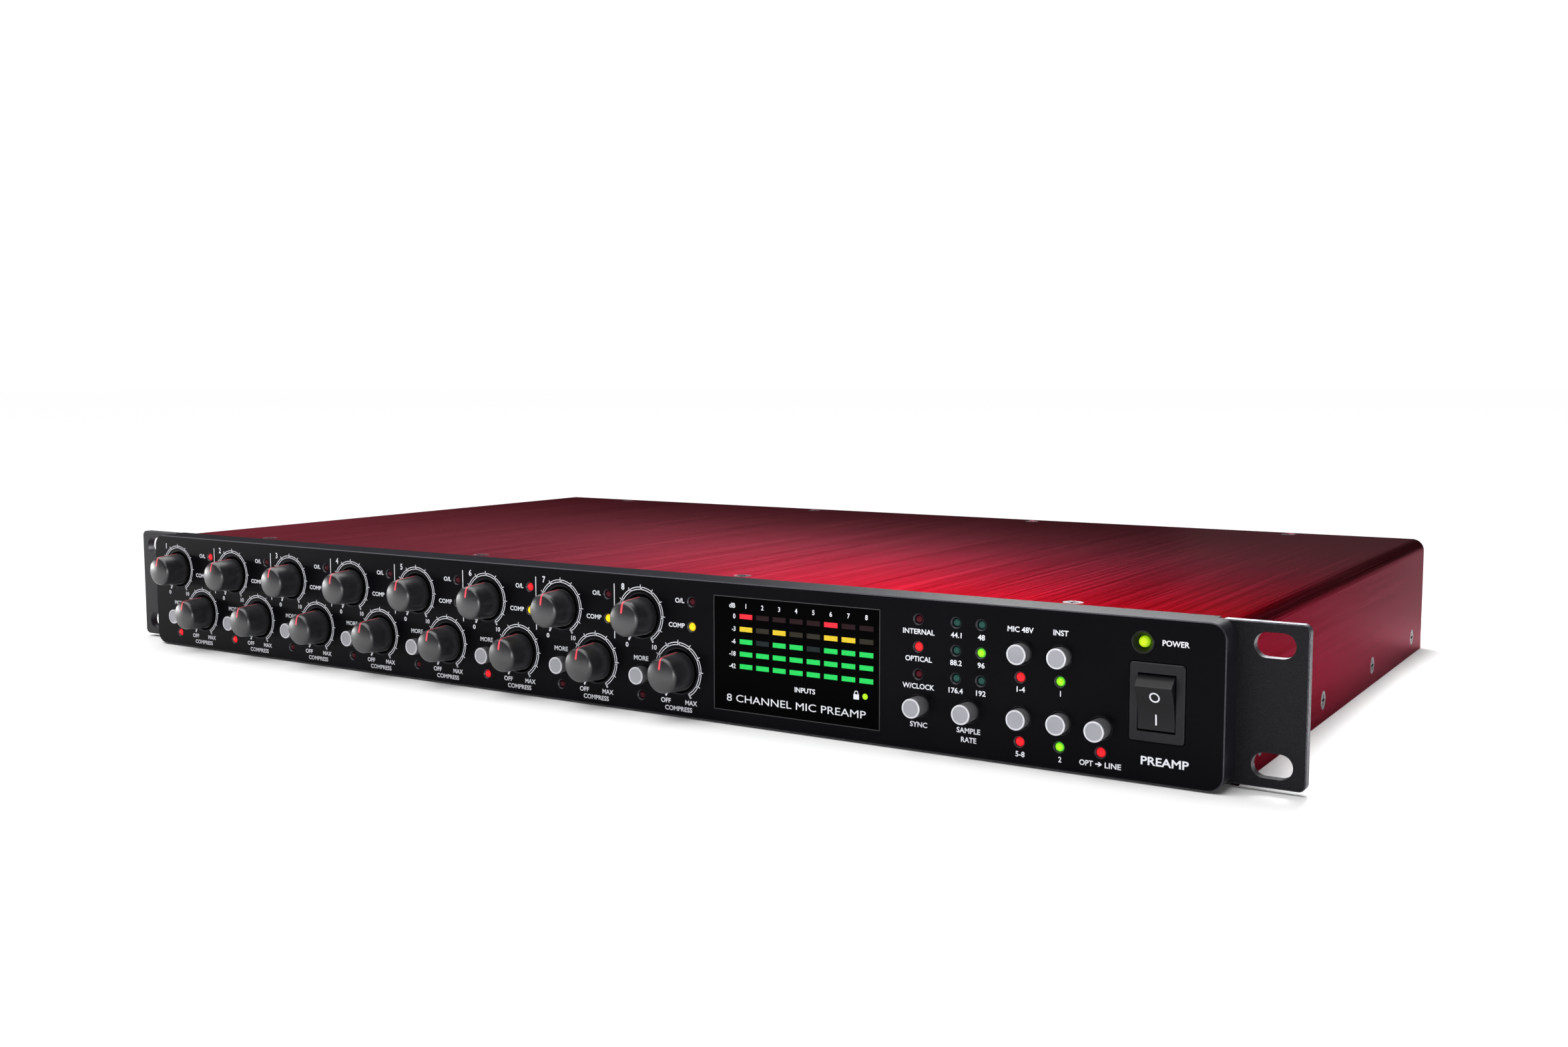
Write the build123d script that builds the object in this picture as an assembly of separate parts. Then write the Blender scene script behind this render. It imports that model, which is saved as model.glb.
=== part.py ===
"""Rack-mounted eight channel microphone preamp, modelled as separate pieces.

Axes: X to the right seen from the front, Y to the back, Z up. The drawing datum is the front face of
the rack plate (y = 0) and the underside of the chassis (z = 0). Everything is moved by PLATE_Y on
export, so that the row's origin is the centre of the bounding box at its base. Millimetres.
"""
import math
import os

from build123d import *

os.makedirs("parts", exist_ok=True)

# ---------------------------------------------------------------- driving dimensions
PLATE_Y = -123.0
GAP = 0.05

RACK_WIDTH = 482.6
RACK_HEIGHT = 43.66
RACK_Z = 23.0
PLATE_THICK = 3.0
SLOT_X = 232.55
SLOT_Z = 15.875
SLOT_LENGTH = 10.8
SLOT_WIDTH = 6.8
NOTCH_X = 219.2
NOTCH_Z = 42.6

BEZEL_LEFT = -219.5
BEZEL_RIGHT = 222.9
BEZEL_BOTTOM = 0.5
BEZEL_TOP = 45.0
BEZEL_DEPTH = 9.5
BEZEL_CORNER = 4.5
BEZEL_FACE = 2.5
BEZEL_WALL = 2.0
LIP_X = 217.5
LIP_THICK = 1.9

COVER_X = 223.3
COVER_TOP = 43.95
COVER_THICK = 2.0
COVER_BEND = 4.5
COVER_BACK = 255.0
TOP_SCREW_X = [-176.6, -59.2, 57.0, 171.6]
TOP_SCREW_Y = [13.7, 248.0]
SIDE_SCREW_Y = [23.0, 94.0, 165.0, 236.0]
SIDE_SCREW_Z = 7.0
CSK_R = 3.1
SHANK_R = 1.45

TRAY_X = 221.2
TRAY_THICK = 1.2
WALL_BACK = 4.25
REAR_FACE = 254.4

CHANNELS = 8
PITCH = 33.97
GAIN_X = -204.9
GAIN_Z = 31.72
COMP_X = -190.0
COMP_Z = 15.02
MORE_Z = 12.55
LIGHT_SHIFT = 20.3

KNOB_HOLE_R = 7.2
KNOB_BASE_R = 6.25
KNOB_TOP_R = 5.75
KNOB_PROUD = 10.2
KNOB_SUNK = 0.45
SHAFT_R = 3.0
POT_BUSH_R = 3.45

CAP_R = 2.87
CAP_HOLE_R = 3.15
STEM_R = 1.2
PROUD_LOW = 3.2
PROUD_HIGH = 5.2

BOARD_Y0 = 9.95
BOARD_Y1 = 11.55

METER = (61.9, 121.3, 4.7, 40.7)
BAR_X = 73.9
BAR_PITCH = 6.115
BAR_Z = [34.7, 30.7, 26.9, 22.9, 19.0]
BAR_SIZE = (4.67, 1.5)

ROCKER_X = 204.8
ROCKER_Z = 22.4
ROCKER_FLANGE = (15.1, 21.2)
ROCKER_OPEN = (10.5, 15.7)
ROCKER_PIVOT_Y = -6.5
ROCKER_R = 8.0

POWER_LIGHT = (200.7, 38.3)

# control centres as (x, z)
GAIN = [(GAIN_X + PITCH * k, GAIN_Z) for k in range(CHANNELS)]
COMP = [(COMP_X + PITCH * k, COMP_Z) for k in range(CHANNELS)]
MORE = [(x, MORE_Z) for x, _ in GAIN]
RIGHT_BUTTONS = {
    "sync_button": (134.2, 13.72, PROUD_HIGH),
    "rate_button": (149.9, 13.72, PROUD_HIGH),
    "mic_power_button_a": (165.7, 32.02, PROUD_LOW),
    "mic_power_button_b": (165.7, 13.72, PROUD_LOW),
    "inst_button_1": (177.5, 32.02, PROUD_LOW),
    "inst_button_2": (177.5, 13.72, PROUD_LOW),
    "line_button": (189.3, 13.72, PROUD_HIGH),
}
BUTTONS = {f"more_button_{k + 1}": (x, z, PROUD_LOW) for k, (x, z) in enumerate(MORE)}
BUTTONS.update(RIGHT_BUTTONS)
LIGHTS = [(x, 5.8) for x, _ in GAIN]
LIGHTS += [(x + LIGHT_SHIFT, 37.78) for x, _ in GAIN]
LIGHTS += [(x + LIGHT_SHIFT, 29.78) for x, _ in GAIN]
LIGHTS += [(x, z) for x in (133.9, 145.9, 153.7) for z in (38.88, 30.88, 22.88)]
LIGHTS += [(x, z) for x in (165.7, 177.5) for z in (25.22, 7.05)]
LIGHTS += [(189.4, 7.05)]

# rear connectors, centres as (x, z)
INLET = (190.0, 22.0)
CLOCK = [(150.0, 22.0), (128.0, 22.0)]
OPTICAL = [(x, z) for x in (106.0, 90.0) for z in (13.5, 30.5)]
JACKS = [(x, z) for x in (69.0, 52.0, 35.0, 18.0) for z in (12.6, 31.4)]
COMBOS = [(-14.0 - 27.2 * k, 22.0) for k in range(CHANNELS)]


# ---------------------------------------------------------------- helpers
def block(x0, x1, y0, y1, z0, z1):
    """Box between two corners."""
    centre = ((x0 + x1) / 2, (y0 + y1) / 2, (z0 + z1) / 2)
    return Pos(*centre) * Box(x1 - x0, y1 - y0, z1 - z0)


def rod_y(x, z, r, y0, y1):
    """Cylinder along Y."""
    return Pos(x, (y0 + y1) / 2, z) * Rot(-90, 0, 0) * Cylinder(r, y1 - y0)


def rod_z(x, y, r, z0, z1):
    """Cylinder along Z."""
    return Pos(x, y, (z0 + z1) / 2) * Cylinder(r, z1 - z0)


def rod_x(y, z, r, x0, x1):
    """Cylinder along X."""
    return Pos((x0 + x1) / 2, y, z) * Rot(0, 90, 0) * Cylinder(r, x1 - x0)


def cone_y(x, z, r0, r1, y0, y1):
    """Frustum along Y, radius r0 at y0 and r1 at y1."""
    return Pos(x, (y0 + y1) / 2, z) * Rot(-90, 0, 0) * Cone(r0, r1, y1 - y0)


def hex_y(x, z, across, y0, y1):
    """Hexagonal prism along Y, given across its flats."""
    outline = RegularPolygon(across / math.sqrt(3), 6)
    return Pos(x, y1, z) * Rot(90, 0, 0) * extrude(outline, y1 - y0)


def rounded_y(x0, x1, z0, z1, r, y0, y1):
    """Plate with rounded corners, thick along Y."""
    outline = RectangleRounded(x1 - x0, z1 - z0, r)
    return Pos((x0 + x1) / 2, y1, (z0 + z1) / 2) * Rot(90, 0, 0) * extrude(outline, y1 - y0)


def save(name, *shapes):
    """Write one node, moved to the row's origin."""
    solids = [solid for shape in shapes for solid in shape.solids()]
    whole = solids[0] if len(solids) == 1 else Compound(solids)
    export_step(Pos(0, PLATE_Y, 0) * whole, f"parts/{name}.step")


# ---------------------------------------------------------------- rack plate
def front_openings(y0, y1, bush_r, stem_r, pipe_r):
    """Tools that cut the control openings through a wall behind the bezel."""
    tools = [rod_y(x, z, bush_r, y0, y1) for x, z in GAIN + COMP]
    tools += [rod_y(x, z, stem_r, y0, y1) for x, z, _ in BUTTONS.values()]
    tools += [rod_y(x, z, pipe_r, y0, y1) for x, z in LIGHTS + [POWER_LIGHT]]
    tools.append(block(63.5, 119.7, y0, y1, 6.2, 39.2))
    tools.append(block(ROCKER_X - 7.0, ROCKER_X + 7.0, y0, y1, ROCKER_Z - 9.8, ROCKER_Z + 9.8))
    return tools


def ear_plate():
    z0 = RACK_Z - RACK_HEIGHT / 2
    z1 = RACK_Z + RACK_HEIGHT / 2
    plate = rounded_y(-RACK_WIDTH / 2, RACK_WIDTH / 2, z0, z1, 2.0, 0, PLATE_THICK)
    plate = chamfer(plate.faces().sort_by(Axis.Y)[0].edges(), 0.3)
    half = SLOT_LENGTH / 2
    slots = []
    for x in (-SLOT_X, SLOT_X):
        for z in (RACK_Z - SLOT_Z, RACK_Z + SLOT_Z):
            slots.append(
                rounded_y(x - half, x + half, z - SLOT_WIDTH / 2, z + SLOT_WIDTH / 2,
                          SLOT_WIDTH / 2 - 0.001, -1, PLATE_THICK + 1)
            )
    notch = block(-NOTCH_X, NOTCH_X, -1, PLATE_THICK + 1, NOTCH_Z, z1 + 1)
    return plate - slots - notch - front_openings(-1, PLATE_THICK + 1, 3.5, 1.6, 1.45)


# ---------------------------------------------------------------- front bezel
def front_bezel():
    face = -BEZEL_DEPTH
    shell = rounded_y(BEZEL_LEFT, BEZEL_RIGHT, BEZEL_BOTTOM, BEZEL_TOP, BEZEL_CORNER, face, -GAP)
    shell = chamfer(shell.faces().sort_by(Axis.Y)[0].edges(), 0.3)
    shell -= block(BEZEL_LEFT + BEZEL_WALL, BEZEL_RIGHT - BEZEL_WALL, face + BEZEL_FACE, 1,
                   BEZEL_BOTTOM + BEZEL_WALL, BEZEL_TOP - BEZEL_WALL)
    lip = block(-LIP_X, LIP_X, -1.0, PLATE_THICK, BEZEL_TOP - LIP_THICK, BEZEL_TOP)
    shell = shell + lip
    posts = [rod_y(x + 12.5, 41.2, 2.0, face + 1, -GAP) for x, _ in GAIN[::3]]
    posts += [rod_y(x + 7.6, 4.0, 1.8, face + 1, -GAP) for x, _ in GAIN[::3]]
    posts += [rod_y(x, z, 2.0, face + 1, -GAP) for x in (126.5, 217.5) for z in (5.0, 40.5)]
    shell = shell + posts
    cuts = []
    for x, z in GAIN + COMP:
        cuts.append(rod_y(x, z, KNOB_HOLE_R, face - 1, -3))
        cuts.append(cone_y(x, z, KNOB_HOLE_R + 1.0, KNOB_HOLE_R, face - 0.4, face + 0.3))
    for x, z, _ in BUTTONS.values():
        cuts.append(rod_y(x, z, CAP_HOLE_R, face - 1, -3))
        cuts.append(cone_y(x, z, CAP_HOLE_R + 0.7, CAP_HOLE_R, face - 0.4, face + 0.3))
    for x, z in LIGHTS:
        cuts.append(rod_y(x, z, 1.35, face - 1, face + 3))
        cuts.append(cone_y(x, z, 2.05, 1.35, face - 0.4, face + 0.4))
    cuts.append(rod_y(*POWER_LIGHT, 3.2, face - 1, face + 3))
    x0, x1, z0, z1 = METER
    cuts.append(block(x0, x1, face - 1, face + 3, z0, z1))
    half_x = ROCKER_FLANGE[0] / 2 + 0.25
    half_z = ROCKER_FLANGE[1] / 2 + 0.25
    cuts.append(rounded_y(ROCKER_X - half_x, ROCKER_X + half_x, ROCKER_Z - half_z, ROCKER_Z + half_z,
                          1.1, face - 1, face + 3))
    return shell - cuts


# ---------------------------------------------------------------- sheet metal case
def cover_profile(half, top, radius, depth):
    """Solid U outline, extruded back from the rack plate."""
    outline = rounded_y(-half, half, -20, top, radius, PLATE_THICK + GAP, depth)
    return outline - block(-half - 1, half + 1, -10, depth + 10, -30, 0)


def csk_top(x, y, z):
    """Countersunk hole from above."""
    head = Pos(x, y, z - 0.8) * Cone(SHANK_R + 0.15, CSK_R, 1.6)
    return [head, rod_z(x, y, SHANK_R + 0.1, z - 12, z + 1)]


def csk_side(side, y, z):
    """Countersunk hole from the left (-1) or the right (+1)."""
    head = Pos(side * (COVER_X - 0.8), y, z) * Rot(0, 90 * side, 0) * Cone(SHANK_R + 0.15, CSK_R, 1.6)
    x0, x1 = sorted((side * (COVER_X - 8), side * (COVER_X + 1)))
    return [head, rod_x(y, z, SHANK_R + 0.1, x0, x1)]


def screw_holes():
    tools = []
    for x in TOP_SCREW_X:
        for y in TOP_SCREW_Y:
            tools += csk_top(x, y, COVER_TOP)
    for side in (-1, 1):
        for y in SIDE_SCREW_Y:
            tools += csk_side(side, y, SIDE_SCREW_Z)
    return tools


def top_cover():
    outer = cover_profile(COVER_X, COVER_TOP, COVER_BEND, COVER_BACK)
    inner = cover_profile(COVER_X - COVER_THICK, COVER_TOP - COVER_THICK,
                          COVER_BEND - COVER_THICK, COVER_BACK + 5)
    inner += Pos(0, -4, 0) * inner
    return outer - inner - screw_holes()


def cross_cut(length):
    """Cross recess, its mouth at z = 0 and pointing down."""
    arm = Box(length, 0.75, 1.2)
    return arm + Box(0.75, length, 1.2)


def cover_screw():
    """Countersunk screw, its head flush with z = 0, pointing down."""
    head = Pos(0, 0, -0.8) * Cone(SHANK_R, CSK_R - 0.1, 1.5)
    shank = Pos(0, 0, -3.5) * Cylinder(SHANK_R, 5.0)
    return head + shank - Pos(0, 0, -0.55) * cross_cut(3.4)


def cover_screws():
    screw = cover_screw()
    placed = [Pos(x, y, COVER_TOP) * screw for x in TOP_SCREW_X for y in TOP_SCREW_Y]
    for side in (-1, 1):
        for y in SIDE_SCREW_Y:
            placed.append(Pos(side * COVER_X, y, SIDE_SCREW_Z) * Rot(0, 90 * side, 0) * screw)
    return placed


def base_tray():
    y0 = PLATE_THICK + GAP
    y1 = REAR_FACE - TRAY_THICK - GAP
    top = COVER_TOP - COVER_THICK - GAP
    tray = block(-TRAY_X, TRAY_X, y0, y1, 0, TRAY_THICK)
    tray += block(-TRAY_X, TRAY_X, y0, WALL_BACK, 0, top)
    tray += block(-TRAY_X + 2, TRAY_X - 2, y0, 19, top - TRAY_THICK, top)
    for side in (-1, 1):
        x0, x1 = sorted((side * (TRAY_X - TRAY_THICK), side * TRAY_X))
        tray += block(x0, x1, y0, y1, 0, 14.0)
    corner = block(-TRAY_X - 1, -TRAY_X + 2.5, 0, 5, top - 2.5, top + 1)
    tray -= [corner, mirror(corner, Plane.YZ)]
    vents = [block(x - 1.5, x + 1.5, 60, 90, -1, 2) for x in range(140, 205, 8)]
    return tray - front_openings(2, 5, 3.5, 1.6, 1.45) - screw_holes() - vents


def rear_panel():
    y1 = REAR_FACE
    y0 = y1 - TRAY_THICK
    top = COVER_TOP - COVER_THICK - GAP
    panel = block(-TRAY_X, TRAY_X, y0, y1, TRAY_THICK + GAP, top)
    panel += block(-TRAY_X + 4, TRAY_X - 4, y1 - 13, y1, top - TRAY_THICK, top)
    corner = block(-TRAY_X - 1, -TRAY_X + 2.5, y0 - 1, y1 + 1, top - 2.5, top + 1)
    panel -= [corner, mirror(corner, Plane.YZ)]
    cuts = [rod_y(x, z, 11.95, y0 - 1, y1 + 1) for x, z in COMBOS]
    cuts += [rod_y(x, z, 4.65, y0 - 1, y1 + 1) for x, z in JACKS]
    cuts += [rod_y(x, z, 4.85, y0 - 1, y1 + 1) for x, z in CLOCK]
    cuts += [block(x - 6.8, x + 6.8, y0 - 1, y1 + 1, z - 5.8, z + 5.8) for x, z in OPTICAL]
    x, z = INLET
    cuts.append(block(x - 14.1, x + 14.1, y0 - 1, y1 + 1, z - 10.2, z + 10.2))
    cuts += [rod_y(x + dx, z, 1.5, y0 - 1, y1 + 1) for dx in (-20, 20)]
    for x, z in COMBOS:
        cuts += [rod_y(x - 9.8, z + 11.6, 1.3, y0 - 1, y1 + 1), rod_y(x + 9.8, z - 11.6, 1.3, y0 - 1, y1 + 1)]
    return panel - cuts - screw_holes()


# ---------------------------------------------------------------- knobs
def knob_body(inset):
    """Turned knob outline around the Y axis, shrunk by inset."""
    front = -BEZEL_DEPTH - KNOB_PROUD + inset
    base = -BEZEL_DEPTH + KNOB_SUNK
    shoulder = front + 2.3 - inset
    rim_r = KNOB_TOP_R - 1.15 - inset
    rim_y = front + 0.75
    side_r = KNOB_TOP_R - inset
    with BuildSketch(Plane.XY) as outline:
        with BuildLine():
            Line((0, base), (KNOB_BASE_R - inset, base))
            Line((KNOB_BASE_R - inset, base), (side_r, shoulder))
            ThreePointArc((side_r, shoulder), (side_r - 0.27, shoulder - 0.98), (rim_r, rim_y))
            ThreePointArc((rim_r, rim_y), (rim_r / 2, front + 0.19), (0, front))
            Line((0, front), (0, base))
        make_face()
    return revolve(outline.sketch, Axis.Y)


def knob():
    """Knob about the Y axis at x = z = 0: cap, pointer inlay, shaft."""
    outer = knob_body(0.0)
    slab = block(-0.27, 0.27, -30, 0, 2.0, 8.0)
    pointer = (outer - knob_body(0.3)) & slab
    bore_front = -BEZEL_DEPTH - KNOB_PROUD + 3.6
    cap = outer - pointer - rod_y(0, 0, SHAFT_R, bore_front, 0)
    shaft = rod_y(0, 0, SHAFT_R - 0.01, bore_front + 0.1, 8.6)
    return cap, pointer, shaft


def potentiometers():
    """Bodies with bushings, and their nuts."""
    solids = []
    for x, z in GAIN + COMP:
        body = block(x - 4.8, x + 4.8, WALL_BACK + GAP, BOARD_Y0 - GAP, z - 5.4, z + 5.4)
        body += rod_y(x, z, POT_BUSH_R, -3.0, WALL_BACK + 1)
        body -= rod_y(x, z, SHAFT_R + 0.05, -4, 8.9)
        nut = hex_y(x, z, 9.6, -2.1, -GAP) - rod_y(x, z, POT_BUSH_R + 0.02, -3, 1)
        solids += [body, nut]
    return solids


# ---------------------------------------------------------------- push buttons
def button(x, z, proud):
    """Cap and stem in one moulding."""
    front = -BEZEL_DEPTH - proud
    cap = rod_y(x, z, CAP_R, front, -2.4)
    cap = chamfer(cap.faces().sort_by(Axis.Y)[0].edges(), 0.3)
    return cap + rod_y(x, z, STEM_R, -3.0, 6.0)


def button_switches():
    solids = []
    for x, z, _ in BUTTONS.values():
        body = block(x - 3.3, x + 3.3, WALL_BACK + GAP, BOARD_Y0 - GAP, z - 3.3, z + 3.3)
        solids.append(body - rod_y(x, z, STEM_R + 0.05, 3, 8.2))
    return solids


# ---------------------------------------------------------------- lights and meter
def indicator_lights():
    face = -BEZEL_DEPTH
    solids = []
    for x, z in LIGHTS:
        pipe = rod_y(x, z, 1.15, face + 0.55, BOARD_Y0 - GAP)
        solids.append(chamfer(pipe.faces().sort_by(Axis.Y)[0].edges(), 0.25))
    x, z = POWER_LIGHT
    lamp = rod_y(x, z, 1.4, face + 0.2, BOARD_Y0 - GAP)
    solids.append(fillet(lamp.faces().sort_by(Axis.Y)[0].edges(), 1.2))
    return solids


def power_light_bush():
    face = -BEZEL_DEPTH
    x, z = POWER_LIGHT
    bush = rod_y(x, z, 3.15, face - 0.25, face + 3.4)
    bush = fillet(bush.faces().sort_by(Axis.Y)[0].edges(), 0.2)
    return bush - cone_y(x, z, 2.75, 1.6, face - 0.3, face + 1.6) - rod_y(x, z, 1.5, face, face + 5)


def meter_window():
    x0, x1, z0, z1 = METER
    return block(x0 + GAP, x1 - GAP, -BEZEL_DEPTH + 0.15, -BEZEL_DEPTH + 1.9, z0 + GAP, z1 - GAP)


def bar_centres():
    return [(BAR_X + BAR_PITCH * k, z) for k in range(CHANNELS) for z in BAR_Z]


def meter_bars():
    dx, dz = BAR_SIZE[0] / 2, BAR_SIZE[1] / 2
    y0 = -BEZEL_DEPTH + 2.0
    return [block(x - dx, x + dx, y0, 2.0, z - dz, z + dz) for x, z in bar_centres()]


def meter_housing():
    dx, dz = BAR_SIZE[0] / 2 + GAP, BAR_SIZE[1] / 2 + GAP
    body = block(63.9, 119.3, -BEZEL_DEPTH + 2.0, BOARD_Y0 - GAP, 6.6, 38.8)
    return body - [block(x - dx, x + dx, -10, 2.0 + GAP, z - dz, z + dz) for x, z in bar_centres()]


# ---------------------------------------------------------------- power switch
def rocker_frame():
    face = -BEZEL_DEPTH - 0.4
    half_x, half_z = ROCKER_FLANGE[0] / 2, ROCKER_FLANGE[1] / 2
    x, z = ROCKER_X, ROCKER_Z
    flange = rounded_y(x - half_x, x + half_x, z - half_z, z + half_z, 0.9, face, face + 2.6)
    flange = chamfer(flange.faces().sort_by(Axis.Y)[0].edges(), 0.25)
    body = flange + block(x - 6.6, x + 6.6, face + 1, 16.0, z - 9.4, z + 9.4)
    body -= block(x - 5.4, x + 5.4, face + 1.2, -0.5, z - 8.4, z + 8.4)
    body -= block(x - ROCKER_OPEN[0] / 2, x + ROCKER_OPEN[0] / 2, face - 1, -1,
                  z - ROCKER_OPEN[1] / 2, z + ROCKER_OPEN[1] / 2)
    return body - rod_x(ROCKER_PIVOT_Y, z, 1.25, x - 6.3, x + 6.3)


def power_rocker():
    """Paddle at rest with its lower half pressed in."""
    y, z, r = ROCKER_PIVOT_Y, ROCKER_Z, ROCKER_R
    edge_y = -13.0
    edge_z = z + math.sqrt(r ** 2 - (edge_y - y) ** 2)
    low_y = -9.8
    low_z = z - math.sqrt(r ** 2 - (low_y - y) ** 2)
    mid = ((edge_y + low_y) / 2 + 0.95, (edge_z + low_z) / 2)
    back_y = y + 1.6
    back = math.sqrt(r ** 2 - 1.6 ** 2)
    with BuildSketch(Plane.YZ) as outline:
        with BuildLine():
            ThreePointArc((low_y, low_z), mid, (edge_y, edge_z))
            ThreePointArc((edge_y, edge_z), (y - 3.4, z + math.sqrt(r ** 2 - 3.4 ** 2)), (back_y, z + back))
            Line((back_y, z + back), (back_y, z - back))
            ThreePointArc((back_y, z - back), (y - 1.0, z - math.sqrt(r ** 2 - 1)), (low_y, low_z))
        make_face()
    paddle = Pos(ROCKER_X - 5.0, 0, 0) * extrude(outline.sketch, 10.0)
    return paddle + rod_x(y, z, 1.2, ROCKER_X - 6.2, ROCKER_X + 6.2)


# ---------------------------------------------------------------- circuit boards
def front_board():
    board = block(-216, 196, BOARD_Y0, BOARD_Y1, 2.6, 40.2)
    return board - [rod_y(x, 21.0, 1.6, 5, 15) for x in (-213.0, 127.0)]


def standoff_places():
    main = [(x, y) for x in (-208, -46, 112) for y in (60, 218)]
    supply = [(x, y) for x in (130, 208) for y in (98, 212)]
    return main + supply


def standoffs():
    return [rod_z(x, y, 2.8, TRAY_THICK, 7.5) for x, y in standoff_places()]


def deck(x0, x1, y0, y1):
    """Horizontal circuit board with its fixing holes."""
    holes = [rod_z(x, y, 1.6, 0, 20) for x, y in standoff_places()]
    return block(x0, x1, y0, y1, 7.5, 9.1) - holes


def board_components():
    top = 9.1
    solids = [block(150, 182, 104, 132, top, 34)]
    solids += [rod_z(x, y, 6.5, top, 33) for x in (140, 157) for y in (152, 170)]
    sink = block(190, 212, 110, 165, top, 12)
    sink += [block(x, x + 1.5, 110, 165, top, 36) for x in range(190, 212, 4)]
    solids.append(sink)
    for k in range(CHANNELS):
        x = GAIN_X + 10 + PITCH * k
        solids.append(block(x - 5, x + 5, 120, 130, top, top + 1.8))
        solids += [rod_z(x + dx, 160, 3.2, top, top + 9) for dx in (-6, 6)]
    solids.append(block(-60, -32, 80, 108, top, top + 2.2))
    return solids


def ribbon(x0, x1):
    """Flat cable from the front board back to the main board."""
    lead = block(x0, x1, 11.6, 40.4, 20.0, 20.8)
    lead += block(x0, x1, 39.6, 40.4, 15.0, 20.8)
    lead += block(x0, x1, 39.6, 66.0, 15.0, 15.8)
    plug = block(x0 - 2, x1 + 2, 66.0, 72.0, 9.1, 17.0)
    return [lead, plug]


def lead(points, r):
    """Round lead along straight runs, with ball corners."""
    wire = Pos(*points[1]) * Sphere(r)
    for point in points[2:-1]:
        wire += Pos(*point) * Sphere(r)
    for start, end in zip(points, points[1:]):
        run = Vector(*end) - Vector(*start)
        straight = Pos(0, 0, run.length / 2) * Cylinder(r, run.length)
        wire += Plane(origin=start, z_dir=run) * straight
    return wire


def wiring():
    """Two flat cables, and the two mains leads from the inlet to the switch."""
    solids = ribbon(-150, -118) + ribbon(-20, 12)
    x0 = ROCKER_X + 2
    for k, z in enumerate((18.0, 26.0)):
        route = [(x0, 16.1, z), (x0, 24, z), (216.6, 34, z), (216.6, 196, z), (206, 218, z),
                 (199 - 14 * k, 224, z), (199 - 14 * k, 229.9, z)]
        solids.append(lead(route, 1.3))
    return solids


# ---------------------------------------------------------------- rear connectors
def mains_inlet():
    x, z = INLET
    y1 = REAR_FACE + 2.6
    flange = rounded_y(x - 25, x + 25, z - 11.8, z + 11.8, 5.0, REAR_FACE + GAP, y1)
    flange = chamfer(flange.faces().sort_by(Axis.Y)[-1].edges(), 0.6)
    body = flange + block(x - 13.9, x + 13.9, 230.0, REAR_FACE + 1, z - 10.0, z + 10.0)
    mouth = block(x - 12.1, x + 12.1, 241.0, y1 + 1, z - 8.2, z + 8.2)
    corner = Pos(0, 249.5, 0) * Box(4.2, 30, 4.2)
    mouth -= [Pos(x + s * 12.1, 0, z + 8.2) * (Rot(0, 45, 0) * corner) for s in (-1, 1)]
    body = body - mouth
    body -= [rod_y(x + s * 20, z, 1.6, 250, y1 + 1) for s in (-1, 1)]
    pins = [(x, z + 2.2), (x - 7.0, z - 1.9), (x + 7.0, z - 1.9)]
    blades = [block(px - 1.0, px + 1.0, 241.0, 254.0, pz - 2.0, pz + 2.0) for px, pz in pins]
    return [body] + blades


def combo_sockets():
    solids = []
    y1 = REAR_FACE + 1.9
    for x, z in COMBOS:
        flange = rounded_y(x - 13.0, x + 13.0, z - 15.3, z + 15.3, 3.0, REAR_FACE + GAP, y1)
        flange = chamfer(flange.faces().sort_by(Axis.Y)[-1].edges(), 0.4)
        cup = flange + rod_y(x, z, 11.9, 228.0, REAR_FACE + 1)
        cup -= rod_y(x, z, 9.7, 240.0, y1 + 1) - rod_y(x, z, 8.0, 239.0, y1 - 1.2)
        cup -= rod_y(x, z, 3.2, 229.5, y1 + 1)
        for angle in (90, 210, 330):
            px = x + 5.6 * math.cos(math.radians(angle))
            pz = z + 5.6 * math.sin(math.radians(angle))
            cup -= rod_y(px, pz, 1.3, 243.0, y1 + 1)
        cup -= [rod_y(x - 9.8, z + 11.6, 1.35, 250, y1 + 1), rod_y(x + 9.8, z - 11.6, 1.35, 250, y1 + 1)]
        cup -= block(x - 2.6, x + 2.6, 252.0, y1 + 1, z + 9.5, z + 11.5)
        solids.append(cup)
    return solids


def line_jacks():
    solids = []
    for x, z in JACKS:
        body = block(x - 7.0, x + 7.0, 228.0, REAR_FACE - TRAY_THICK - GAP, z - 5.5, z + 6.5)
        body += rod_y(x, z, 4.6, 250.0, REAR_FACE + 3.0)
        body -= rod_y(x, z, 3.2, 230.0, REAR_FACE + 4)
        nut = hex_y(x, z, 12.0, REAR_FACE + GAP, REAR_FACE + 2.1) - rod_y(x, z, 4.62, 250, 260)
        solids += [body, nut]
    return solids


def optical_ports():
    solids = []
    for x, z in OPTICAL:
        body = rounded_y(x - 6.7, x + 6.7, z - 5.7, z + 5.7, 0.8, 236.0, REAR_FACE + 1.4)
        body -= block(x - 4.7, x + 4.7, 246.0, REAR_FACE + 2, z - 4.4, z + 4.4)
        lens = rod_y(x, z, 1.2, 246.0, 249.0)
        solids += [body, lens]
    return solids


def clock_sockets():
    solids = []
    for x, z in CLOCK:
        barrel = rod_y(x, z, 4.8, 238.0, REAR_FACE + 11.3)
        barrel += hex_y(x, z, 13.0, REAR_FACE + GAP, REAR_FACE + 2.4)
        barrel += rod_x(REAR_FACE + 6.5, z, 1.0, x - 5.7, x + 5.7)
        barrel -= rod_y(x, z, 4.05, REAR_FACE + 1.5, REAR_FACE + 12)
        core = rod_y(x, z, 2.4, REAR_FACE + 1.5, REAR_FACE + 9.5)
        core -= rod_y(x, z, 0.7, REAR_FACE + 4, REAR_FACE + 10)
        solids += [barrel, core]
    return solids


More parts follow.
